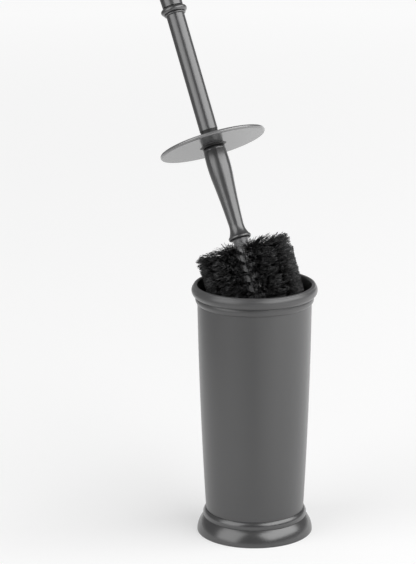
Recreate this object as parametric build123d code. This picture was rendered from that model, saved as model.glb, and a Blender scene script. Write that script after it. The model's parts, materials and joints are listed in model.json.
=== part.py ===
from build123d import *
from math import asin, cos, hypot, pi, radians, sin, tan
import os

# A toilet brush drawn part-way out of its holder and leaning in the holder's mouth.
# Millimetres, +Z up, -Y to the front, origin on the floor under the middle of the foot.

# Holder cup: a round cup with a bellied wall and a rolled rim
HOLDER_HEIGHT = 230.6  # floor to the crest of the rim
RIM_RADIUS = 56.0  # widest point of the rolled rim
RIM_OVERHANG = 5.0  # rim past the top of the wall
RIM_DROP = 4.6  # crest down to the rim's widest point
ROLL_HEIGHT = 11.2  # crest down to the groove under the roll
GROOVE_INSET = 3.6  # groove inside the rim's widest point
CREST_INSET = 3.4  # middle of the crest inside the rim's widest point
CREST_HALF_WIDTH = 1.9
CREST_FALL = 1.6  # crest's top above its two edges
BEAD_HEIGHT = 6.2  # small bead from the groove down to the wall
BEAD_DROP = 2.4  # groove down to the bead's widest point
BEAD_PROUD = 1.9  # bead past the top of the wall
MOUTH_FLARE = 0.3  # share of the mouth's flare at half its height
WALL_FOOT_RADIUS = 43.1  # outside of the wall where it stands on the foot
WALL_BULGE = 1.25  # belly of the wall past a straight taper
WALL = 2.0
CUP_FLOOR = 2.5
CUP_CORNER = 4.0  # inside radius between floor and wall
CUP_CHAMFER = 1.2  # outside lower edge

# Foot: a flared dish with a bead round its mouth
FOOT_FLOOR = 2.5
FOOT_HEIGHT = 21.3
FOOT_SPREAD = 9.1  # foot past the wall that it holds
FOOT_LIP = 0.2  # flat top of the bead beside the cup
FOOT_BEAD_HEIGHT = 7.3
FOOT_BEAD_DROP = 5.1  # top down to the bead's widest point
FOOT_BEAD_PROUD = 2.6  # bead past the wall that it holds
FOOT_GROOVE = 0.6  # groove under the bead, inside its widest point
FLARE_BULGE = 1.35  # flare past a straight cone
FOOT_EDGE = 1.5  # upright edge at the floor
FOOT_SKIN = 1.9  # thickness of the flare
SOCKET_WALL = 1.8
CORE_OUT_HEIGHT = 9.6  # hollow under the flare
CUP_FIT = 0.15  # cup in its foot

# How the brush leans in the mouth
LEAN = 27.39  # degrees from upright
LEAN_HEADING = 126.92  # degrees from +X, the way that the handle leans
HEAD_SHOWING = 35.8  # flat top of the head past the rim, along the brush
HEAD_GAP = 0.4  # bristles to the holder
WALL_CONTACT_DROP = 60.0  # rim down to where the head comes nearest to the wall

# Head: a core with rows of tufts, cut to a cylinder with a domed end
DOME_LENGTH = 50.0
TUFT_ROWS = 8
TUFTS_IN_ROW = 9
FAN_STRANDS = 5  # strands across a tuft
FAN_ANGLE = 16.0  # degrees that a tuft spreads to each side at its tips
FAN_RISE = 2.4  # strands of a tuft up and down at their tips
ROOT_RISE = 0.7  # the same at their roots
ROOT_SPREAD = 1.25  # half the width of a tuft at its roots
STRAND_RADIUS = 0.5
STRAND_SUNK = 0.8  # strand inside its backing
CORE_APOTHEM = 5.2  # middle of the core to a flat
BACKING = 1.8  # slice of the core that carries a row of tufts
BACKING_WIDTH = 3.9
CORE_LENGTH = 82.0
NECK_CONE = 10.0  # length of the cone under the neck bead
NECK_RADIUS = 7.4
ROW_MARGIN = 3.4  # first and last tuft from the ends of a row
LAST_TUFT_TURN = 50.0  # degrees round the dome that the rows reach
END_RINGS = [(16, 4.2, 60.0), (12, 3.0, 70.0), (8, 1.8, 79.0), (4, 0.7, 86.0)]  # count, root, turn
STAPLE_DEPTH = 1.6
STAPLE_WIDTH = 2.6
STAPLE_THICKNESS = 0.4
STAPLE_FIT = 0.05

# Stem: a tapered baluster with a bead at its neck
NECK_RISE = 11.8  # top of the head up to the middle of the neck bead
NECK_BEAD_RADIUS = 10.3
NECK_BEAD_HALF = 1.8
STEM_LENGTH = 85.2  # middle of the neck bead to the shoulder
COVE_RADIUS = 9.2  # stem where it leaves the bead
WAIST_RADIUS = 6.65
WAIST_RISE = 11.0
SWELL_RADIUS = 10.0  # end of the taper
SWELL_RISE = 56.0
TAPER_DIP = 0.35  # taper inside a straight cone
BELLY_RADIUS = 10.6
SHOULDER_RADIUS = 8.8
SHOULDER_ROUND = 3.2
STUD_RADIUS = 4.0
STUD_LENGTH = 15.0
SOCKET_DEPTH = 20.0  # stem's upper socket
SOCKET_SPACE = 0.5  # left under the end of a spigot or stud
FIT = 0.05  # radial clearance of spigots and studs

# Collar, disc and handle
COLLAR_RADIUS = 12.3
COLLAR_HEIGHT = 1.2
COLLAR_COVE = 2.0  # collar past the stem, drawn out in a cove
COLLAR_HOLLOW = 0.36  # share of the cove that is left at its middle
SLEEVE_RADIUS = 7.9  # collar's sleeve, which passes through the disc
SLEEVE_RISE = 11.5  # sleeve from the disc up to the grip
DISC_RADIUS = 48.6
DISC_HEIGHT = 3.0
DISC_LIP = 0.4  # rim above the disc
DISC_RIM_WIDTH = 1.5
GRIP_RADIUS = 8.3
GRIP_LENGTH = 110.4
GRIP_SPIGOT_RADIUS = 6.0
GRIP_BORE_DEPTH = 98.0
RING_RADIUS = 12.0
RING_HEIGHT = 8.0
RING_BASE_RADIUS = 9.2  # between the ring's two rounds
RING_LIP_RADIUS = 9.9  # small round under the large one
RING_LIP = 1.7
RING_NECK_RADIUS = 7.7
RING_NECK = 1.0  # height of the groove above the ring
FINIAL_SPIGOT_RADIUS = 5.4
FINIAL_SPIGOT = 18.0
FINIAL_RADIUS = 9.4
FINIAL_SWELL = 11.0
FINIAL_LENGTH = 72.0
FINIAL_BELLY = 0.3  # body past a straight cone
FINIAL_DOME = 9.0

# Levels of the holder
rim_level = HOLDER_HEIGHT - RIM_DROP
groove_level = HOLDER_HEIGHT - ROLL_HEIGHT
wall_top = groove_level - BEAD_HEIGHT
cup_floor_top = FOOT_FLOOR + CUP_FLOOR


def wall_radius(level):
    """Outside of the cup's wall: a straight taper plus a parabola for its belly."""
    share = (level - FOOT_FLOOR) / (wall_top - FOOT_FLOOR)
    taper = WALL_FOOT_RADIUS + share * (RIM_RADIUS - RIM_OVERHANG - WALL_FOOT_RADIUS)
    return taper + 4 * WALL_BULGE * share * (1 - share)


def wall_arc(low, high, inset):
    """The wall's line between two levels, moved in by an inset."""
    ends = [(wall_radius(level) - inset, level) for level in (low, (low + high) / 2, high)]
    return ThreePointArc(*ends)


def turned(*outline):
    """Turn a closed outline of radius and height about the upright axis."""
    return revolve(Plane.XZ * make_face(outline), Axis.Z)


def make_cup():
    """The tapered cup: floor, bellied wall, bead, rolled rim and flared mouth."""
    edge_top = FOOT_FLOOR + CUP_CHAMFER
    edge_in = wall_radius(FOOT_FLOOR) - CUP_CHAMFER
    bead = (RIM_RADIUS - RIM_OVERHANG + BEAD_PROUD, groove_level - BEAD_DROP)
    groove = (RIM_RADIUS - GROOVE_INSET, groove_level)
    crest = RIM_RADIUS - CREST_INSET
    crest_edge = HOLDER_HEIGHT - CREST_FALL
    outer_edge = (crest + CREST_HALF_WIDTH, crest_edge)
    inner_edge = (crest - CREST_HALF_WIDTH, crest_edge)
    mouth = (wall_radius(groove_level) - WALL, groove_level)
    throat = (mouth[0] + MOUTH_FLARE * (inner_edge[0] - mouth[0]), (groove_level + crest_edge) / 2)
    corner_level = cup_floor_top + CUP_CORNER
    corner_out = wall_radius(corner_level) - WALL
    corner_in = corner_out - CUP_CORNER
    lean_in = CUP_CORNER * cos(pi / 4)
    return turned(
        Line((0, FOOT_FLOOR), (edge_in, FOOT_FLOOR)),
        Line((edge_in, FOOT_FLOOR), (wall_radius(edge_top), edge_top)),
        wall_arc(edge_top, wall_top, 0),
        ThreePointArc((wall_radius(wall_top), wall_top), bead, groove),
        ThreePointArc(groove, (RIM_RADIUS, rim_level), outer_edge),
        ThreePointArc(outer_edge, (crest, HOLDER_HEIGHT), inner_edge),
        ThreePointArc(inner_edge, throat, mouth),
        wall_arc(corner_level, groove_level, WALL),
        ThreePointArc(
            (corner_out, corner_level),
            (corner_in + lean_in, corner_level - lean_in),
            (corner_in, cup_floor_top),
        ),
        Line((corner_in, cup_floor_top), (0, cup_floor_top)),
        Line((0, cup_floor_top), (0, FOOT_FLOOR)),
    )


def make_foot():
    """The flared foot: a socket for the cup, a bead, a flare and a hollow under it."""
    socket_low = wall_radius(FOOT_FLOOR) + CUP_FIT
    socket_top = wall_radius(FOOT_HEIGHT) + CUP_FIT
    wall_here = wall_radius(FOOT_HEIGHT)
    groove_foot = FOOT_HEIGHT - FOOT_BEAD_HEIGHT
    lip = (socket_top + FOOT_LIP, FOOT_HEIGHT)
    bead = (wall_here + FOOT_BEAD_PROUD, FOOT_HEIGHT - FOOT_BEAD_DROP)
    groove = (bead[0] - FOOT_GROOVE, groove_foot)
    spread = WALL_FOOT_RADIUS + FOOT_SPREAD
    middle = (groove[0] + spread) / 2
    belly = (middle + FLARE_BULGE, (groove_foot + FOOT_EDGE) / 2)
    hollow_in = socket_low + SOCKET_WALL
    hollow_top_in = wall_radius(CORE_OUT_HEIGHT) + CUP_FIT + SOCKET_WALL
    hollow_top_out = middle - FOOT_SKIN
    hollow_out = spread - FOOT_SKIN
    return turned(
        Line((0, 0), (hollow_in, 0)),
        Line((hollow_in, 0), (hollow_top_in, CORE_OUT_HEIGHT)),
        Line((hollow_top_in, CORE_OUT_HEIGHT), (hollow_top_out, CORE_OUT_HEIGHT)),
        Line((hollow_top_out, CORE_OUT_HEIGHT), (hollow_out, FOOT_EDGE)),
        Line((hollow_out, FOOT_EDGE), (hollow_out, 0)),
        Line((hollow_out, 0), (spread, 0)),
        Line((spread, 0), (spread, FOOT_EDGE)),
        ThreePointArc((spread, FOOT_EDGE), belly, groove),
        ThreePointArc(groove, bead, lip),
        Line(lip, (socket_top, FOOT_HEIGHT)),
        Line((socket_top, FOOT_HEIGHT), (socket_low, FOOT_FLOOR)),
        Line((socket_low, FOOT_FLOOR), (0, FOOT_FLOOR)),
        Line((0, FOOT_FLOOR), (0, 0)),
    )


# The head's envelope: its radius lets it pass the crest of the rim at this lean,
# and its cylinder ends where the dome comes within the gap of the wall.
lean = radians(LEAN)
crest_reach = RIM_RADIUS - CREST_INSET - CREST_HALF_WIDTH - HEAD_GAP
crest_rise = RIM_DROP - CREST_FALL
head_radius = (crest_reach - crest_rise * tan(lean)) * cos(lean)
wall_reach = wall_radius(rim_level - WALL_CONTACT_DROP) - WALL - HEAD_GAP
cylinder_end = (hypot(head_radius * cos(lean), DOME_LENGTH * sin(lean)) - wall_reach) / sin(lean)

# Heights along the brush, from where its axis crosses the level of the rim
neck_bead = HEAD_SHOWING + NECK_RISE
stem_foot = neck_bead - NECK_BEAD_HALF
core_top = stem_foot - NECK_CONE
core_end = core_top - CORE_LENGTH
shoulder = neck_bead + STEM_LENGTH
disc_foot = shoulder + COLLAR_HEIGHT
disc_top = disc_foot + DISC_HEIGHT
grip_foot = disc_top + SLEEVE_RISE
ring_foot = grip_foot + GRIP_LENGTH
finial_foot = ring_foot + RING_HEIGHT
finial_end = finial_foot + FINIAL_LENGTH


def make_finial():
    """The end of the handle: a spigot, a swelling body and a domed end."""
    spigot_end = finial_foot - RING_HEIGHT - FINIAL_SPIGOT
    dome_foot = finial_end - FINIAL_DOME
    swell = ((FINIAL_RADIUS + FINIAL_SWELL) / 2 + FINIAL_BELLY, (finial_foot + dome_foot) / 2)
    ball = (FINIAL_SWELL**2 + FINIAL_DOME**2) / (2 * FINIAL_DOME)
    half_turn = asin(FINIAL_SWELL / ball) / 2
    dome = (ball * sin(half_turn), finial_end - ball + ball * cos(half_turn))
    return turned(
        Line((0, spigot_end), (FINIAL_SPIGOT_RADIUS, spigot_end)),
        Line((FINIAL_SPIGOT_RADIUS, spigot_end), (FINIAL_SPIGOT_RADIUS, finial_foot)),
        Line((FINIAL_SPIGOT_RADIUS, finial_foot), (FINIAL_RADIUS, finial_foot)),
        ThreePointArc((FINIAL_RADIUS, finial_foot), swell, (FINIAL_SWELL, dome_foot)),
        ThreePointArc((FINIAL_SWELL, dome_foot), dome, (0, finial_end)),
        Line((0, finial_end), (0, spigot_end)),
    )


def make_ring():
    """The ring of the handle: a small round, a large round and a groove above them."""
    bore = FINIAL_SPIGOT_RADIUS + FIT
    base = RING_BASE_RADIUS
    low = ring_foot + RING_LIP
    high = finial_foot - RING_NECK
    return turned(
        Line((bore, ring_foot), (base, ring_foot)),
        ThreePointArc((base, ring_foot), (RING_LIP_RADIUS, (ring_foot + low) / 2), (base, low)),
        ThreePointArc((base, low), (RING_RADIUS, (low + high) / 2), (base, high)),
        Line((base, high), (RING_NECK_RADIUS, high)),
        Line((RING_NECK_RADIUS, high), (RING_NECK_RADIUS, finial_foot)),
        Line((RING_NECK_RADIUS, finial_foot), (bore, finial_foot)),
        Line((bore, finial_foot), (bore, ring_foot)),
    )


def make_grip():
    """The grip: a tube with a bore for the finial and a long spigot at its foot."""
    bore = FINIAL_SPIGOT_RADIUS + FIT
    bore_end = ring_foot - GRIP_BORE_DEPTH
    spigot_end = shoulder - SOCKET_DEPTH + SOCKET_SPACE
    return turned(
        Line((0, spigot_end), (GRIP_SPIGOT_RADIUS, spigot_end)),
        Line((GRIP_SPIGOT_RADIUS, spigot_end), (GRIP_SPIGOT_RADIUS, grip_foot)),
        Line((GRIP_SPIGOT_RADIUS, grip_foot), (GRIP_RADIUS, grip_foot)),
        Line((GRIP_RADIUS, grip_foot), (GRIP_RADIUS, ring_foot)),
        Line((GRIP_RADIUS, ring_foot), (bore, ring_foot)),
        Line((bore, ring_foot), (bore, bore_end)),
        Line((bore, bore_end), (0, bore_end)),
        Line((0, bore_end), (0, spigot_end)),
    )


def make_disc():
    """The splash disc, bored for the collar's sleeve, flat below and with a round rim."""
    bore = SLEEVE_RADIUS + FIT
    flat = DISC_RADIUS - DISC_RIM_WIDTH
    rim_top = disc_top + DISC_LIP
    return turned(
        Line((bore, disc_foot), (flat, disc_foot)),
        ThreePointArc((flat, disc_foot), (DISC_RADIUS, (disc_foot + rim_top) / 2), (flat, rim_top)),
        Line((flat, rim_top), (flat, disc_top)),
        Line((flat, disc_top), (bore, disc_top)),
        Line((bore, disc_top), (bore, disc_foot)),
    )


def make_collar():
    """The collar: a coved flange under the disc and a sleeve through it, bored for the spigot."""
    bore = GRIP_SPIGOT_RADIUS + FIT
    face = COLLAR_RADIUS - COLLAR_COVE
    hollow = (face + COLLAR_HOLLOW * COLLAR_COVE, disc_foot - COLLAR_HOLLOW * COLLAR_HEIGHT)
    return turned(
        Line((bore, shoulder), (face, shoulder)),
        ThreePointArc((face, shoulder), hollow, (COLLAR_RADIUS, disc_foot)),
        Line((COLLAR_RADIUS, disc_foot), (SLEEVE_RADIUS, disc_foot)),
        Line((SLEEVE_RADIUS, disc_foot), (SLEEVE_RADIUS, grip_foot)),
        Line((SLEEVE_RADIUS, grip_foot), (bore, grip_foot)),
        Line((bore, grip_foot), (bore, shoulder)),
    )


def make_stem():
    """The baluster: neck bead, cove, taper, belly and rounded shoulder, with a socket at each end."""
    upper = GRIP_SPIGOT_RADIUS + FIT
    lower = STUD_RADIUS + FIT
    upper_end = shoulder - SOCKET_DEPTH
    lower_end = stem_foot + STUD_LENGTH + SOCKET_SPACE
    bead_top = neck_bead + NECK_BEAD_HALF
    waist = neck_bead + WAIST_RISE
    swell = neck_bead + SWELL_RISE
    round_foot = shoulder - SHOULDER_ROUND
    taper = ((WAIST_RADIUS + SWELL_RADIUS) / 2 - TAPER_DIP, (waist + swell) / 2)
    hollow = COVE_RADIUS - WAIST_RADIUS
    cove_round = (hollow**2 + (waist - bead_top) ** 2) / (2 * hollow)
    half_turn = asin((waist - bead_top) / cove_round) / 2
    cove = (WAIST_RADIUS + cove_round * (1 - cos(half_turn)), waist - cove_round * sin(half_turn))
    rounding = (
        SHOULDER_RADIUS + (SWELL_RADIUS - SHOULDER_RADIUS) * cos(pi / 4),
        round_foot + SHOULDER_ROUND * sin(pi / 4),
    )
    return turned(
        Line((lower, stem_foot), (COVE_RADIUS, stem_foot)),
        ThreePointArc((COVE_RADIUS, stem_foot), (NECK_BEAD_RADIUS, neck_bead), (COVE_RADIUS, bead_top)),
        ThreePointArc((COVE_RADIUS, bead_top), cove, (WAIST_RADIUS, waist)),
        ThreePointArc((WAIST_RADIUS, waist), taper, (SWELL_RADIUS, swell)),
        ThreePointArc(
            (SWELL_RADIUS, swell), (BELLY_RADIUS, (swell + round_foot) / 2), (SWELL_RADIUS, round_foot)
        ),
        ThreePointArc((SWELL_RADIUS, round_foot), rounding, (SHOULDER_RADIUS, shoulder)),
        Line((SHOULDER_RADIUS, shoulder), (upper, shoulder)),
        Line((upper, shoulder), (upper, upper_end)),
        Line((upper, upper_end), (0, upper_end)),
        Line((0, upper_end), (0, lower_end)),
        Line((0, lower_end), (lower, lower_end)),
        Line((lower, lower_end), (lower, stem_foot)),
    )


# Tufts stand at even steps along the core, and their tips at even steps round the envelope
tuft_heights = [
    core_top - ROW_MARGIN - step * (CORE_LENGTH - 2 * ROW_MARGIN) / (TUFTS_IN_ROW - 1)
    for step in range(TUFTS_IN_ROW)
]
row_headings = [(row + 0.5) * 360 / TUFT_ROWS for row in range(TUFT_ROWS)]


def envelope(way):
    """Radius and height of the head's cut, a way down from its flat top: the cylinder, then the dome."""
    straight = HEAD_SHOWING - cylinder_end
    if way < straight:
        return head_radius, HEAD_SHOWING - way
    turn = (way - straight) * 2 / (head_radius + DOME_LENGTH)
    return head_radius * cos(turn), cylinder_end - DOME_LENGTH * sin(turn)


def strand(root, tip):
    """One stiff three-sided strand from its root to its tip."""
    way = tip - root
    return extrude(Plane(root, z_dir=way) * RegularPolygon(STRAND_RADIUS, 3), way.length)


def make_row():
    """A row of tufts on the +X flat: a slice of the core, and strands that fan out without crossing."""
    face = CORE_APOTHEM + BACKING
    full_way = HEAD_SHOWING - cylinder_end + radians(LAST_TUFT_TURN) * (head_radius + DOME_LENGTH) / 2
    strands = []
    for step, height in enumerate(tuft_heights):
        way = FAN_RISE + STRAND_RADIUS + step * (full_way - FAN_RISE) / (TUFTS_IN_ROW - 1)
        for place in range(FAN_STRANDS):
            side = 2 * place / (FAN_STRANDS - 1) - 1
            rise = 1 if place % 2 else -1
            reach, tip_height = envelope(way - rise * FAN_RISE)
            angle = radians(side * FAN_ANGLE)
            root = Vector(face - STRAND_SUNK, side * ROOT_SPREAD, height + rise * ROOT_RISE)
            strands.append(strand(root, Vector(reach * cos(angle), reach * sin(angle), tip_height)))
    slice_middle = (core_top + core_end) / 2
    backing = Pos(CORE_APOTHEM + BACKING / 2, 0, slice_middle) * Box(BACKING, BACKING_WIDTH, CORE_LENGTH)
    return backing + strands


def make_end():
    """The tufts on the end of the core: an end slice and rings of strands that fan out round the dome."""
    face = core_end - BACKING
    strands = []
    for count, root_radius, turn in END_RINGS:
        tip_radius = head_radius * cos(radians(turn))
        tip_height = cylinder_end - DOME_LENGTH * sin(radians(turn))
        for place in range(count):
            angle = 2 * pi * (place + 0.5) / count
            root = Vector(root_radius * cos(angle), root_radius * sin(angle), face + STRAND_SUNK)
            tip = Vector(tip_radius * cos(angle), tip_radius * sin(angle), tip_height)
            strands.append(strand(root, tip))
    backing = Pos(0, 0, core_end - BACKING / 2) * Cylinder(CORE_APOTHEM, BACKING)
    return backing + strands


def at_tufts(blade):
    """A blade at the middle of a flat, repeated under every tuft of every row."""
    return [Rot(Z=heading) * Pos(Z=height) * blade for heading in row_headings for height in tuft_heights]


def make_core():
    """The core: a stud, a neck cone and an eight-sided shaft with a slot for every staple."""
    corner = CORE_APOTHEM / cos(pi / TUFT_ROWS)
    stud_top = stem_foot + STUD_LENGTH
    neck = turned(
        Line((0, core_top), (corner, core_top)),
        Line((corner, core_top), (NECK_RADIUS, stem_foot)),
        Line((NECK_RADIUS, stem_foot), (STUD_RADIUS, stem_foot)),
        Line((STUD_RADIUS, stem_foot), (STUD_RADIUS, stud_top)),
        Line((STUD_RADIUS, stud_top), (0, stud_top)),
        Line((0, stud_top), (0, core_top)),
    )
    shaft = extrude(Plane.XY.offset(core_end) * RegularPolygon(corner, TUFT_ROWS), CORE_LENGTH)
    slot = Box(STAPLE_DEPTH, STAPLE_WIDTH + 2 * STAPLE_FIT, STAPLE_THICKNESS + 2 * STAPLE_FIT)
    return neck + shaft - at_tufts(Pos(X=CORE_APOTHEM - STAPLE_DEPTH / 2) * slot)


def make_staples():
    """The flat steel anchors, one on the floor of every slot."""
    blade = Box(STAPLE_DEPTH, STAPLE_WIDTH, STAPLE_THICKNESS)
    return Compound(at_tufts(Pos(X=CORE_APOTHEM - STAPLE_DEPTH / 2) * blade))


# The brush is built upright about its own axis and set leaning in the mouth, first flat gap to the front
heading = radians(LEAN_HEADING)
brush_axis = Vector(sin(lean) * cos(heading), sin(lean) * sin(heading), cos(lean))
front = Vector(0, -1, 0)
brush_front = front - brush_axis * front.dot(brush_axis)
leaning = Plane(Vector(0, 0, rim_level), x_dir=brush_front, z_dir=brush_axis)

holder = {"holder_cup": make_cup(), "base_foot": make_foot()}
brush = {
    "handle_finial": make_finial(),
    "grip_ring": make_ring(),
    "grip_tube": make_grip(),
    "lid_disc": make_disc(),
    "stem_collar": make_collar(),
    "lower_stem": make_stem(),
    "brush_core": make_core(),
    "end_tufts": make_end(),
    "tuft_staples": make_staples(),
}
row_of_tufts = make_row()
for number, row_heading in enumerate(row_headings, start=1):
    brush[f"tuft_row_{number}"] = Rot(Z=row_heading) * row_of_tufts

os.makedirs("parts", exist_ok=True)
for name, solid in holder.items():
    export_step(solid, f"parts/{name}.step")
for name, solid in brush.items():
    export_step(leaning * solid, f"parts/{name}.step")

print("brush axis", [round(share, 5) for share in brush_axis])
print("head radius", round(head_radius, 2), "cylinder end", round(cylinder_end, 2))
print("core end", round(core_end, 2), "finial end", round(finial_end, 2))
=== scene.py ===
import json

import bpy
import numpy as np
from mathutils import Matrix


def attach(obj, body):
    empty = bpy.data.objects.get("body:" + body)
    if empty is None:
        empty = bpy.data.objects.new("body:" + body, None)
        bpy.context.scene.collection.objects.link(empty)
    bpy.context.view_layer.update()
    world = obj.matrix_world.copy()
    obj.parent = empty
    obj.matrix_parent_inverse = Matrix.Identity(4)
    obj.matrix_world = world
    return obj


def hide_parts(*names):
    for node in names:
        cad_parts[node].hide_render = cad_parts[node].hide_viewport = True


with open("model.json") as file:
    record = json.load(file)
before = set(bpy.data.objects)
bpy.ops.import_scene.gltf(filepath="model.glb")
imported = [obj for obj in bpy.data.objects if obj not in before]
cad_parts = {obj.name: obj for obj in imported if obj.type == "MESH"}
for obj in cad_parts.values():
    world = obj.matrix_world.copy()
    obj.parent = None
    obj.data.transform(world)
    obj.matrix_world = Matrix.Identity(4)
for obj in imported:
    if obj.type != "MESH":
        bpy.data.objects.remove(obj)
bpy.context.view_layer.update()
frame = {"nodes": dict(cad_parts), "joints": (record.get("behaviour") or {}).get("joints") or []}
nodes = frame["nodes"]

# The cup is one deep moulding in charcoal plastic. Its tool was spark-eroded, so the wall is matt
# with a fine even grain, and it stands loose in the socket of the foot.
MM = 0.001
CUP_CHARCOAL = (0.055, 0.055, 0.056)
CLOUD_SCALE = 26.0  # clouds in a metre of the plastic
CLOUD_DETAIL = 4.0
CLOUD_TINT = 0.05  # share of the colour that they add or take
CLOUD_GLOSS = 0.05  # roughness from the clearest to the cloudiest place
GRAIN_DETAIL = 2.0


class Shade:
    """A socket of a node tree: sums of it add Math nodes, and node() adds any other node."""

    def __init__(self, tree, socket=None):
        self.tree = tree
        self.socket = socket

    def node(self, kind, settings, sockets, out=0):
        """Adds a node, sets its settings first and its sockets after, and gives one output."""
        new = self.tree.nodes.new(kind)
        for name, value in settings.items():
            setattr(new, name, value)
        for name, value in sockets.items():
            if isinstance(value, Shade):
                self.tree.links.new(value.socket, new.inputs[name])
            else:
                new.inputs[name].default_value = value
        return Shade(self.tree, new.outputs[out] if new.outputs else None)

    def math(self, operation, first, second):
        """Adds a Math node on two values."""
        return self.node("ShaderNodeMath", {"operation": operation}, {0: first, 1: second})

    def __add__(self, other):
        return self.math("ADD", self, other)

    def __sub__(self, other):
        return self.math("SUBTRACT", self, other)

    def __rsub__(self, other):
        return self.math("SUBTRACT", other, self)

    def __mul__(self, other):
        return self.math("MULTIPLY", self, other)

    __radd__ = __add__
    __rmul__ = __mul__


def empty_material(name):
    """A new node material with nothing in it."""
    material = bpy.data.materials.new(name)
    material.use_nodes = True
    material.node_tree.nodes.clear()
    return material, Shade(material.node_tree)


def mixed_colour(factor, first, second):
    """Two colours mixed by a factor. A Mix node takes colours at sockets 6 and 7 and gives one at 2."""
    sockets = {"Factor": factor, 6: first, 7: second}
    return factor.node("ShaderNodeMix", {"data_type": "RGBA"}, sockets, 2)


def moulded_plastic(name, colour, rough, mirror, grain_scale, grain_depth):
    """Moulded plastic. Its colour and gloss drift a little with a slow cloud, as pigment and tool
    polish do, and a fine noise of the tool's grain stands in the normal. mirror is its index."""
    material, shade = empty_material(name)
    place = shade.node("ShaderNodeTexCoord", {}, {}, "Object")
    cloud = shade.node(
        "ShaderNodeTexNoise", {}, {"Vector": place, "Scale": CLOUD_SCALE, "Detail": CLOUD_DETAIL}
    )
    grain = shade.node(
        "ShaderNodeTexNoise", {}, {"Vector": place, "Scale": grain_scale, "Detail": GRAIN_DETAIL}
    )
    dark = [channel * (1 - CLOUD_TINT) for channel in colour] + [1]
    light = [channel * (1 + CLOUD_TINT) for channel in colour] + [1]
    bump = shade.node(
        "ShaderNodeBump", {}, {"Height": grain, "Strength": 1.0, "Distance": grain_depth}
    )
    surface = shade.node(
        "ShaderNodeBsdfPrincipled",
        {},
        {
            "Base Color": mixed_colour(cloud, dark, light),
            "Roughness": rough + CLOUD_GLOSS * (cloud - 0.5),
            "IOR": mirror,
            "Normal": bump,
        },
    )
    shade.node("ShaderNodeOutputMaterial", {}, {"Surface": surface})
    return material


def dress(node, material):
    """Puts a material on a piece that keeps its solid shape."""
    for slot in nodes[node].material_slots:
        slot.material = material


cup_plastic = moulded_plastic(
    "cup_matt_charcoal",
    CUP_CHARCOAL,
    rough=0.34,
    mirror=1.65,
    grain_scale=1500.0,
    grain_depth=0.02 * MM,
)
dress("holder_cup", cup_plastic)

# The foot is a second moulding in the same plastic from a polished tool, so it is darker and
# glossier than the cup and shows the lamps as soft spots on its flare.
FOOT_CHARCOAL = (0.022, 0.022, 0.023)
foot_plastic = moulded_plastic(
    "foot_satin_charcoal",
    FOOT_CHARCOAL,
    rough=0.26,
    mirror=1.9,
    grain_scale=420.0,
    grain_depth=0.008 * MM,
)
dress("base_foot", foot_plastic)

# The handle is turned-looking but moulded: finial, ring, grip and stem push together on spigots.
# All of them are satin charcoal with the faint ripple of a hand-polished tool.
HANDLE_CHARCOAL = (0.020, 0.020, 0.021)
handle_plastic = moulded_plastic(
    "handle_satin_charcoal",
    HANDLE_CHARCOAL,
    rough=0.29,
    mirror=2.0,
    grain_scale=380.0,
    grain_depth=0.006 * MM,
)
for name in ("handle_finial", "grip_ring", "grip_tube", "lower_stem"):
    dress(name, handle_plastic)

# The splash disc is a flat moulding with a round rim and a smooth underside that mirrors the floor.
# It sits on the flange of the collar, with the collar's sleeve through its bore.
DISC_CHARCOAL = (0.115, 0.115, 0.117)
disc_plastic = moulded_plastic(
    "disc_satin_charcoal",
    DISC_CHARCOAL,
    rough=0.21,
    mirror=2.2,
    grain_scale=300.0,
    grain_depth=0.005 * MM,
)
dress("lid_disc", disc_plastic)

# The collar is a dark bush: a coved flange under the disc and a sleeve through it, up to the grip.
# The grip's spigot passes down its bore into the stem and holds the stack together.
COLLAR_DARK = (0.012, 0.012, 0.012)
collar_plastic = moulded_plastic(
    "collar_dark", COLLAR_DARK, rough=0.48, mirror=1.4, grain_scale=500.0, grain_depth=0.01 * MM
)
dress("stem_collar", collar_plastic)

# The core of the head is a satin moulding with a neck cone, plugged into the stem by its stud. It
# has eight flats for the rows of tufts, and the slices that carry them are of the same plastic.
CORE_CHARCOAL = (0.16, 0.16, 0.163)
core_plastic = moulded_plastic(
    "core_satin_charcoal",
    CORE_CHARCOAL,
    rough=0.30,
    mirror=1.7,
    grain_scale=420.0,
    grain_depth=0.01 * MM,
)
dress("brush_core", core_plastic)

# The staples are flat blades of drawn steel wire, pressed into the core behind the tufts. They hold
# the filaments in their holes, and none of them shows once the tufts are in.
STEEL = (0.62, 0.62, 0.64, 1)
STREAK_STRETCH = (1, 1, 12)
STREAK_SCALE = 900.0
STREAK_DETAIL = 2.0
STEEL_ROUGH = 0.25
STREAK_ROUGH = 0.2  # added where a streak is deepest


def drawn_steel(name):
    """Drawn steel: bright metal with fine streaks, from a noise that is stretched on one axis."""
    material, shade = empty_material(name)
    place = shade.node("ShaderNodeTexCoord", {}, {}, "Object")
    stretched = shade.node("ShaderNodeMapping", {}, {"Vector": place, "Scale": STREAK_STRETCH})
    streak = shade.node(
        "ShaderNodeTexNoise",
        {},
        {"Vector": stretched, "Scale": STREAK_SCALE, "Detail": STREAK_DETAIL},
    )
    surface = shade.node(
        "ShaderNodeBsdfPrincipled",
        {},
        {"Base Color": STEEL, "Metallic": 1.0, "Roughness": STEEL_ROUGH + STREAK_ROUGH * streak},
    )
    shade.node("ShaderNodeOutputMaterial", {}, {"Surface": surface})
    return material


dress("tuft_staples", drawn_steel("staple_steel"))

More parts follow.
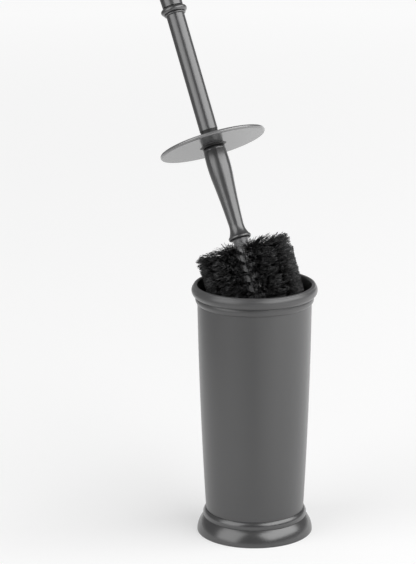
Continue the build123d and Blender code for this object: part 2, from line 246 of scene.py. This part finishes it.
# The bristles are black crimped filaments, stapled in tufts in eight rows round the core and cut to
# a cylinder with a domed end. Each tuft stands in a low moulded collar on its slice of the core.
RIM_LEVEL = 226.0 * MM  # where the brush's axis crosses the middle of the mouth
HEAD_TOP = 35.8 * MM  # flat top of the head, up the axis from there
HEAD_RADIUS = 43.2 * MM
CYLINDER_END = -6.3 * MM  # where the dome starts
DOME_LENGTH = 50.0 * MM
CORE_TOP = HEAD_TOP
CORE_LENGTH = 82.0 * MM
CORE_FLAT = 5.2 * MM  # middle of the core to a flat
BACKING = 1.8 * MM  # slice of the core that carries a row
BACKING_WIDTH = 3.9 * MM
BACKING_BEVEL = 0.5 * MM
ROW_MARGIN = 3.4 * MM  # first and last tuft from the ends of a row
COLLAR_PROFILE = (  # radius and rise of a tuft's collar, in millimetres
    (1.8, -0.2),
    (1.75, 0.3),
    (1.6, 0.6),
    (1.4, 0.7),
    (1.1, 0.6),
    (0.0, 0.5),
)
COLLAR_STEPS = 20

ROWS = 8
TUFTS = 9  # in a row
WISPS = 120  # in a tuft
WISP_HAIRS = 3
ROW_SEED = 40
TUFT_RADIUS = 1.5 * MM
FAN_ANGLE = np.radians(25.0)  # a tuft's tips to each side
SIDE_SPREAD = 0.86  # share of that angle that the wisps fill
LIFT_SPREAD = 0.6  # wisps up and down, as a share of the step between tufts
HAIR_STRAY = 0.05  # hairs from their wisp, in the same shares
ROOT_WIDTH = 0.8  # share of the tuft's radius that the roots may take across the row
ROOT_STRAY = 0.2 * MM
ROOT_SUNK = 0.3 * MM  # roots inside the slice
FIRST_WAY = 4.8 * MM  # from the flat top down the cut to the first tuft's tips
LAST_TURN = np.radians(50.0)  # round the dome to the last tuft's tips
WISP_TRIM = 0.012  # share that wisps, hairs and tufts fall short of the cut
HAIR_TRIM = 0.008
TUFT_TRIM = 0.025
SPLAY = 2.1 * MM  # tips past the cut at the flat top
SPLAY_REACH = 16.0 * MM  # way down the cut to where that ends
ROW_FLARE = (0.2, 0.25, 0.3, 1.0, 1.0, 0.3, 0.25, 0.2)  # how far each first tuft flares up
FLARE_POWER = 1.2  # above 1, fewer wisps flare far
FLARE_RISE = 16.0 * MM  # of a fully flared tip, beside the neck
FLARE_DRAW_IN = 0.4  # share of its radius that such a tip loses

HAIR_RADIUS = 0.14 * MM
HAIR_RINGS = 9
HAIR_SIDES = 3
BEND = 1.3 * MM  # middle of a hair off its line
CRIMP = 0.8 * MM
CRIMP_WAVES = (1.5, 3.5)  # fewest and most along a hair
BLACK = (0.003, 0.003, 0.0031, 1)
# The grey that some hairs take is partly the filaments' own and partly painted glint.
GREY_AND_PAINTED_GLINT = (0.22, 0.22, 0.224, 1)
TONE_POWER = 8  # high, so that few hairs are grey
WISP_TONE_AND_GLINT = 0.7
HAIR_TONE_AND_GLINT = 0.3
FILAMENT_ROUGH = 0.45
GREY_GLOSS = 0.10  # roughness that a grey hair loses
FILAMENT_MIRROR = 1.44


def black_filament(name):
    """Black filament: each hair greys by a random amount, part its own colour, part painted glint."""
    material, shade = empty_material(name)
    tone_and_glint = shade.node("ShaderNodeAttribute", {"attribute_name": "tone_and_glint"}, {}, "Fac")
    surface = shade.node(
        "ShaderNodeBsdfPrincipled",
        {},
        {
            "Base Color": mixed_colour(tone_and_glint, BLACK, GREY_AND_PAINTED_GLINT),
            "Roughness": FILAMENT_ROUGH - GREY_GLOSS * tone_and_glint,
            "IOR": FILAMENT_MIRROR,
        },
    )
    shade.node("ShaderNodeOutputMaterial", {}, {"Surface": surface})
    return material


bristle_black = black_filament("bristle_black")

brush_axis = np.array(frame["joints"][0]["axis"])
brush_axis = brush_axis / np.linalg.norm(brush_axis)
brush_front = np.array([0.0, -1.0, 0.0])
brush_front = brush_front - brush_axis * (brush_front @ brush_axis)
brush_front = brush_front / np.linalg.norm(brush_front)
brush_side = np.cross(brush_axis, brush_front)


def in_mouth(points):
    """Places of the upright brush set leaning in the mouth: each place is a sum of the brush's
    front, side and axis, from where the axis crosses the level of the rim."""
    leaning = np.stack([brush_front, brush_side, brush_axis])
    return points @ leaning + np.array([0, 0, RIM_LEVEL])


def turned_to(points, heading):
    """Places turned about the brush's axis: its front and side are mixed by the heading's cosine
    and sine, and the height stays."""
    turn = np.array(
        [
            [np.cos(heading), np.sin(heading), 0],
            [-np.sin(heading), np.cos(heading), 0],
            [0, 0, 1],
        ]
    )
    return points @ turn


def head_cut(way):
    """Radius and height of the head's cut, a way down from its flat top: down the cylinder, then
    round the dome, whose angle is the way left over divided by the dome's mean radius."""
    straight = HEAD_TOP - CYLINDER_END
    turn = np.maximum(way - straight, 0) * 2 / (HEAD_RADIUS + DOME_LENGTH)
    radius = HEAD_RADIUS * np.cos(turn)
    height = np.where(way < straight, HEAD_TOP - way, CYLINDER_END - DOME_LENGTH * np.sin(turn))
    return radius, height


def patches(here, beside, up):
    """Two triangles for each patch between a corner, the corner beside it and the two that follow
    them by up places."""
    first = np.stack([here, beside, beside + up], -1)
    second = np.stack([here, beside + up, here + up], -1)
    return np.concatenate([first.reshape(-1, 3), second.reshape(-1, 3)])


def hairs(roots, outward, tips, draw):
    """Crimped three-sided hairs. Each follows a curve that leaves its root outwards and bends to
    its tip, plus a sine wave across it, and three corners stand round the curve at every ring."""
    count = len(roots)
    reach = np.linalg.norm(tips - roots, axis=1)[:, None]
    middle = roots + outward * reach / 2 + draw.normal(0, BEND, (count, 3))
    share = np.linspace(0, 1, HAIR_RINGS)[None, :, None]
    line = (1 - share) ** 2 * roots[:, None] + 2 * share * (1 - share) * middle[:, None]
    line = line + share**2 * tips[:, None]
    along = (tips - roots) / reach
    across = np.cross(along, draw.normal(0, 1, (count, 3)))
    across = across / np.linalg.norm(across, axis=1)[:, None]
    third = np.cross(along, across)
    waves = draw.uniform(*CRIMP_WAVES, (count, 1, 1))
    phase = draw.uniform(0, 2 * np.pi, (count, 1, 1))
    wave = np.sin(2 * np.pi * waves * share + phase) * share * CRIMP
    line = line + across[:, None] * wave
    corner = np.arange(HAIR_SIDES) * 2 * np.pi / HAIR_SIDES
    ring = across[:, None, None] * np.cos(corner)[None, None, :, None]
    ring = ring + third[:, None, None] * np.sin(corner)[None, None, :, None]
    points = line[:, :, None] + ring * HAIR_RADIUS
    hair_start = np.arange(count)[:, None, None] * HAIR_RINGS * HAIR_SIDES
    ring_start = hair_start + (np.arange(HAIR_RINGS - 1) * HAIR_SIDES)[None, :, None]
    side = np.arange(HAIR_SIDES)
    walls = patches(ring_start + side, ring_start + np.roll(side, -1), HAIR_SIDES)
    root = hair_start[:, 0, 0]
    tip = root + (HAIR_RINGS - 1) * HAIR_SIDES
    root_caps = np.stack([root, root + 2, root + 1], -1)
    tip_caps = np.stack([tip, tip + 1, tip + 2], -1)
    return points.reshape(-1, 3), np.concatenate([walls, root_caps, tip_caps])


def turned_profile(profile, steps):
    """A profile of radius and height turned about the Z axis: the radius times the cosine and the
    sine of each step's angle, with patches between neighbouring steps and levels."""
    profile = np.array(profile)
    levels = len(profile)
    angle = np.linspace(0, 2 * np.pi, steps, endpoint=False)[:, None]
    across = profile[:, 0] * np.cos(angle)
    aside = profile[:, 0] * np.sin(angle)
    points = np.stack([across, aside, np.broadcast_to(profile[:, 1], across.shape)], -1)
    step = np.arange(steps)[:, None]
    level = np.arange(levels - 1)
    return points.reshape(-1, 3), patches(step * levels + level, (step + 1) % steps * levels + level, 1)


def tuft_collars(heights, face):
    """Low round collars on the +X flat: one turned profile laid on its side, repeated at heights."""
    upright, faces = turned_profile(np.array(COLLAR_PROFILE) * MM, COLLAR_STEPS)
    lying = upright[:, [2, 0, 1]] + np.array([face, 0, 0])
    points = lying + np.stack([0 * heights, 0 * heights, heights], -1)[:, None]
    collar_start = np.arange(len(heights))[:, None, None] * len(upright)
    return points.reshape(-1, 3), (collar_start + faces).reshape(-1, 3)


def backing_bar(face):
    """The slice of the core under a row: a rectangle with its outer corners cut, carried along the
    core, with a fan of triangles on each end."""
    half = BACKING_WIDTH / 2
    section = np.array(
        [
            [CORE_FLAT, -half],
            [face - BACKING_BEVEL, -half],
            [face, -half + BACKING_BEVEL],
            [face, half - BACKING_BEVEL],
            [face - BACKING_BEVEL, half],
            [CORE_FLAT, half],
        ]
    )
    corners = len(section)
    ends = (CORE_TOP - CORE_LENGTH, CORE_TOP)
    points = np.concatenate([np.c_[section, np.full(corners, end)] for end in ends])
    here = np.arange(corners)
    fan = np.stack([0 * here[2:], here[1:-1], here[2:]], -1)
    sides = patches(here, np.roll(here, -1), corners)
    return points, np.concatenate([sides, fan[:, ::-1], fan + corners])


def bristle_piece(name, hair_mesh, carriers, tone_and_glint):
    """One mesh of hairs and of what carries them; each hair's grey, part painted glint, is an
    attribute.
    """
    parts = [hair_mesh] + carriers
    starts = np.cumsum([0] + [len(part[0]) for part in parts])
    points = np.concatenate([part[0] for part in parts])
    faces = np.concatenate([part[1] + start for part, start in zip(parts, starts)])
    mesh = bpy.data.meshes.new(name)
    mesh.vertices.add(len(points))
    mesh.vertices.foreach_set("co", in_mouth(points).ravel())
    mesh.loops.add(faces.size)
    mesh.loops.foreach_set("vertex_index", faces.ravel())
    mesh.polygons.add(len(faces))
    mesh.polygons.foreach_set("loop_start", np.arange(0, faces.size, 3))
    carried = np.arange(len(faces)) >= len(hair_mesh[1])
    mesh.polygons.foreach_set("material_index", carried.astype(np.int32))
    mesh.polygons.foreach_set("use_smooth", ~carried)
    mesh.update(calc_edges=True)
    tones = np.zeros(len(points), np.float32)
    tones[: len(tone_and_glint)] = tone_and_glint
    mesh.attributes.new("tone_and_glint", "FLOAT", "POINT").data.foreach_set("value", tones)
    mesh.materials.append(bristle_black)
    mesh.materials.append(core_plastic)
    piece = bpy.data.objects.new(name, mesh)
    bpy.context.scene.collection.objects.link(piece)
    return piece


backing_face = CORE_FLAT + BACKING
tuft_heights = CORE_TOP - np.linspace(ROW_MARGIN, CORE_LENGTH - ROW_MARGIN, TUFTS)
last_way = HEAD_TOP - CYLINDER_END + LAST_TURN * (HEAD_RADIUS + DOME_LENGTH) / 2
tuft_ways = np.linspace(FIRST_WAY, last_way, TUFTS)
tuft_step = tuft_ways[1] - tuft_ways[0]
collar_points, collar_faces = tuft_collars(tuft_heights, backing_face)
bar_points, bar_faces = backing_bar(backing_face)

wisps = TUFTS * WISPS
count = wisps * WISP_HAIRS
tuft = np.repeat(np.arange(TUFTS), WISPS * WISP_HAIRS)
wisp = np.repeat(np.arange(wisps), WISP_HAIRS)
outward = np.tile([1.0, 0.0, 0.0], (count, 1))

for row in range(ROWS):
    draw = np.random.default_rng(ROW_SEED + row)
    side = draw.uniform(-SIDE_SPREAD, SIDE_SPREAD, wisps)[wisp] + draw.normal(0, HAIR_STRAY, count)
    lift = draw.uniform(-LIFT_SPREAD, LIFT_SPREAD, wisps)[wisp] + draw.normal(0, HAIR_STRAY, count)
    roots = np.stack(
        [
            np.full(count, backing_face - ROOT_SUNK),
            TUFT_RADIUS * ROOT_WIDTH * side + draw.normal(0, ROOT_STRAY, count),
            tuft_heights[tuft] + TUFT_RADIUS * lift + draw.normal(0, ROOT_STRAY, count),
        ],
        -1,
    )
    # Tips that would stand over the flat top are brought back half-way to it
    way = tuft_ways[tuft] - lift * tuft_step
    way = np.where(way < 0, way / 2, way)
    radius, height = head_cut(way)
    trim = np.abs(draw.normal(0, WISP_TRIM, wisps))[wisp] + np.abs(draw.normal(0, HAIR_TRIM, count))
    trim = trim + draw.uniform(0, TUFT_TRIM, TUFTS)[tuft]
    radius = radius * (1 - trim) + SPLAY * np.clip(1 - way / SPLAY_REACH, 0, 1)
    flare = draw.uniform(0, 1, wisps)[wisp] ** FLARE_POWER * (tuft == 0) * ROW_FLARE[row]
    radius = radius * (1 - FLARE_DRAW_IN * flare)
    height = height + FLARE_RISE * flare
    fan = side * FAN_ANGLE
    tips = np.stack([radius * np.cos(fan), radius * np.sin(fan), height], -1)
    hair_points, hair_faces = hairs(roots, outward, tips, draw)
    # Each wisp and hair gets a random grey, partly its own and partly painted glint.
    tone_and_glint = draw.uniform(0, 1, wisps)[wisp] ** TONE_POWER * WISP_TONE_AND_GLINT
    tone_and_glint = tone_and_glint + draw.uniform(0, 1, count) ** TONE_POWER * HAIR_TONE_AND_GLINT
    heading = (row + 0.5) * 2 * np.pi / ROWS
    piece = bristle_piece(
        "bristle_row_" + str(row + 1),
        (turned_to(hair_points, heading), hair_faces),
        [
            (turned_to(collar_points, heading), collar_faces),
            (turned_to(bar_points, heading), bar_faces),
        ],
        np.repeat(tone_and_glint, HAIR_RINGS * HAIR_SIDES),
    )
    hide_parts("tuft_row_" + str(row + 1))
    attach(piece, "brush")

# The end of the core carries more filaments of the same kind. They are set all over its round end
# slice, fan out from it and close the dome.
END_HAIRS = 1700
END_SEED = 90
END_ROOT_RADIUS = 4.7 * MM
FIRST_END_TURN = np.radians(52.0)  # round the dome to the outermost tips
END_STRAY = 0.05  # radians round the dome
END_TRIM = 0.022  # share that the tips fall short of it
END_TONE_POWER = 3
SLICE_EDGE = 0.7  # upright edge of the slice, as a share of its height
SLICE_TIP = 0.92  # radius of its lower end, as a share of the edge's
SLICE_STEPS = 32

draw = np.random.default_rng(END_SEED)
spread = np.sqrt(draw.uniform(0, 1, END_HAIRS))
around = draw.uniform(0, 2 * np.pi, END_HAIRS)
slice_top = CORE_TOP - CORE_LENGTH
slice_foot = slice_top - BACKING
roots = np.stack(
    [
        spread * END_ROOT_RADIUS * np.cos(around),
        spread * END_ROOT_RADIUS * np.sin(around),
        np.full(END_HAIRS, slice_foot + ROOT_SUNK),
    ],
    -1,
)
dome_turn = np.pi / 2 - spread * (np.pi / 2 - FIRST_END_TURN) + draw.normal(0, END_STRAY, END_HAIRS)
trim = 1 - END_TRIM * np.abs(draw.normal(0, 1, END_HAIRS))
tips = np.stack(
    [
        HEAD_RADIUS * np.cos(dome_turn) * np.cos(around) * trim,
        HEAD_RADIUS * np.cos(dome_turn) * np.sin(around) * trim,
        CYLINDER_END - DOME_LENGTH * np.sin(dome_turn) * trim,
    ],
    -1,
)
downward = np.tile([0.0, 0.0, -1.0], (END_HAIRS, 1))
end_mesh = hairs(roots, downward, tips, draw)
# The end hairs get a random grey too, partly their own and partly painted glint.
tone_and_glint = np.repeat(draw.uniform(0, 1, END_HAIRS) ** END_TONE_POWER, HAIR_RINGS * HAIR_SIDES)
end_slice = turned_profile(
    [
        [0, slice_foot],
        [CORE_FLAT * SLICE_TIP, slice_foot],
        [CORE_FLAT, slice_top - BACKING * SLICE_EDGE],
        [CORE_FLAT, slice_top],
        [0, slice_top],
    ],
    SLICE_STEPS,
)
piece = bristle_piece("bristle_end", end_mesh, [end_slice], tone_and_glint)
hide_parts("end_tufts")
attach(piece, "brush")

# The floor is plain white and wide enough to fill the view. It glows a little more further off, so
# that it stays white to the edge. In the pieces' reflections only, its glow carries a painted shadow
# round the camera's stand and painted shade on the far left, and painted light beside the holder,
# most of all to the right, where the larger lamp stands.
FLOOR_HALF = 60.0
FLOOR_GREY = 0.55
GLOW_NEAR = 0.41  # at the holder
GLOW_FAR = 0.71
GLOW_FULL = 3.4  # metres to where it is full
PAINTED_STAND_SHADOW = (0.0, -1.15, 0.0)  # middle of the painted shadow that reflections show in front
PAINTED_SHADOW_NEAR = 0.62  # from the stand to where its painted shadow begins to fade, and to where it ends
PAINTED_SHADOW_FAR = 0.86
PAINTED_LIGHT_NEAR = 0.02  # to each side of the holder, where the painted light in reflections begins and is full
PAINTED_LIGHT_FAR = 0.14
RIGHT_PAINTED_LIGHT = 0.8
LEFT_PAINTED_LIGHT = 0.4
LEFT_PAINTED_SHADE_START = -0.35  # to the left, where the painted shade in reflections begins and is full
LEFT_PAINTED_SHADE_FULL = -0.8


def carried_over(value, start, end, low, high):
    """A value between start and end carried over to between low and high, and held beyond them."""
    return value.node("ShaderNodeMapRange", {}, {0: value, 1: start, 2: end, 3: low, 4: high})


def shown(shade, painted_and_backdrop_share):
    """How much of a glow shows: all of it to the camera, and the given share of it in reflections."""
    share = shade.node("ShaderNodeLightPath", {}, {}, "Is Camera Ray")
    for ray in ("Is Glossy Ray", "Is Transmission Ray"):
        share = shade.math("MAXIMUM", share, painted_and_backdrop_share * shade.node("ShaderNodeLightPath", {}, {}, ray))
    return share


floor_mesh = bpy.data.meshes.new("floor")
corners = np.array([[-1, -1, 0], [1, -1, 0], [1, 1, 0], [-1, 1, 0]]) * FLOOR_HALF
floor_mesh.from_pydata(corners.tolist(), [], [[0, 1, 2, 3]])
floor = bpy.data.objects.new("floor", floor_mesh)
bpy.context.scene.collection.objects.link(floor)
floor_white, shade = empty_material("floor_white")
place = shade.node("ShaderNodeTexCoord", {}, {}, "Object")
to_holder = shade.node("ShaderNodeVectorMath", {"operation": "LENGTH"}, {0: place}, "Value")
to_painted_shadow = shade.node(
    "ShaderNodeVectorMath", {"operation": "DISTANCE"}, {0: place, 1: PAINTED_STAND_SHADOW}, "Value"
)
to_right = shade.node("ShaderNodeSeparateXYZ", {}, {0: place}, "X")
glow = carried_over(to_holder, 0.0, GLOW_FULL, GLOW_NEAR, GLOW_FAR)
clear = carried_over(to_painted_shadow, PAINTED_SHADOW_NEAR, PAINTED_SHADOW_FAR, 0.0, 1.0)
right_painted_light = carried_over(to_right, PAINTED_LIGHT_NEAR, PAINTED_LIGHT_FAR, 0.0, RIGHT_PAINTED_LIGHT)
left_painted_light = carried_over(to_right, -PAINTED_LIGHT_FAR, -PAINTED_LIGHT_NEAR, LEFT_PAINTED_LIGHT, 0.0)
outside_left_painted_shade = carried_over(to_right, LEFT_PAINTED_SHADE_FULL, LEFT_PAINTED_SHADE_START, 0.0, 1.0)
# Painted light and shade for reflections: the share of the floor's glow that glossy rays see.
painted_and_backdrop_share = (clear + left_painted_light) * outside_left_painted_shade + right_painted_light
paint = shade.node("ShaderNodeBsdfDiffuse", {}, {"Color": (FLOOR_GREY, FLOOR_GREY, FLOOR_GREY, 1)})
glow_and_painted_reflection = shade.node("ShaderNodeEmission", {}, {"Color": glow * shown(shade, painted_and_backdrop_share)})
both = shade.node("ShaderNodeAddShader", {}, {0: paint, 1: glow_and_painted_reflection})
shade.node("ShaderNodeOutputMaterial", {}, {"Surface": both})
floor_mesh.materials.append(floor_white)

# The studio is a grey room with a wide soft box on each side of the camera. They give the two streaks
# on the handle, and the soft spots on the rim and the foot. A low white backdrop meets the floor.
ROOM_LIGHT = 0.32
BACKDROP = 0.93
BACKDROP_RISE = 0.12  # sine of the angle up to which reflections show it
BOX_AWAY = 2.6
HOLDER_MIDDLE = np.array([0, 0, 0.25])
WHITE = (1, 1, 1, 1)


def soft_box(name, heading, rise, half_wide, half_high, brightness):
    """A rectangular lamp seen from the holder at a heading and a rise, in degrees, with half its
    width and height as angles too. Its power is brightness times pi times its area."""
    heading, rise = np.radians(heading), np.radians(rise)
    lamp = bpy.data.lights.new(name, "AREA")
    lamp.shape = "RECTANGLE"
    lamp.size = 2 * BOX_AWAY * np.tan(np.radians(half_wide))
    lamp.size_y = 2 * BOX_AWAY * np.tan(np.radians(half_high))
    lamp.energy = brightness * np.pi * lamp.size * lamp.size_y
    box = bpy.data.objects.new(name, lamp)
    level = np.array([np.sin(heading), -np.cos(heading), 0])
    away = level * np.cos(rise) + np.array([0, 0, np.sin(rise)])
    box.location = HOLDER_MIDDLE + BOX_AWAY * away
    box.rotation_euler = (np.pi / 2 - rise, 0, heading)
    bpy.context.scene.collection.objects.link(box)


soft_box("soft_box_right", heading=65.0, rise=38.0, half_wide=38.0, half_high=22.0, brightness=2.9)
soft_box("soft_box_left", heading=-57.0, rise=28.0, half_wide=24.0, half_high=28.0, brightness=1.9)

world = bpy.data.worlds.new("grey_room")
bpy.context.scene.world = world
world.use_nodes = True
world.node_tree.nodes.clear()
shade = Shade(world.node_tree)
outlook = shade.node("ShaderNodeTexCoord", {}, {}, "Generated")
upward = shade.node("ShaderNodeSeparateXYZ", {}, {0: outlook}, "Z")
backdrop = carried_over(upward, 0.0, BACKDROP_RISE, 1.0, 0.0)
strength = ROOM_LIGHT + (BACKDROP - ROOM_LIGHT) * shown(shade, backdrop)
room = shade.node("ShaderNodeBackground", {}, {"Color": WHITE, "Strength": strength})
shade.node("ShaderNodeOutputWorld", {}, {"Surface": room})

# The camera stands in front and looks a little down. Its lens and place come from the rim and the
# foot as they show in the photograph, and its shift sets the holder right of the middle.
IMAGE_WIDTH = 416  # pixels of the photograph
IMAGE_HEIGHT = 564
FOCAL_PIXELS = 2303.6
HOLDER_PIXEL = 254.6  # middle of the holder, from the left
CAMERA_BACK = 1.9776  # metres in front of the holder and above the floor
CAMERA_HEIGHT = 0.7483
CAMERA_PITCH = np.radians(14.64)
SENSOR = 36.0
VIEW_REACH = 100.0

lens = bpy.data.cameras.new("camera")
lens.sensor_fit = "VERTICAL"
lens.sensor_height = SENSOR
lens.lens = FOCAL_PIXELS / IMAGE_HEIGHT * SENSOR
lens.shift_x = (IMAGE_WIDTH / 2 - HOLDER_PIXEL) / IMAGE_HEIGHT
lens.clip_end = VIEW_REACH
camera = bpy.data.objects.new("camera", lens)
camera.location = (0, -CAMERA_BACK, CAMERA_HEIGHT)
camera.rotation_euler = (np.pi / 2 - CAMERA_PITCH, 0, 0)
bpy.context.scene.collection.objects.link(camera)
bpy.context.scene.camera = camera
bpy.context.scene.view_settings.view_transform = "Standard"
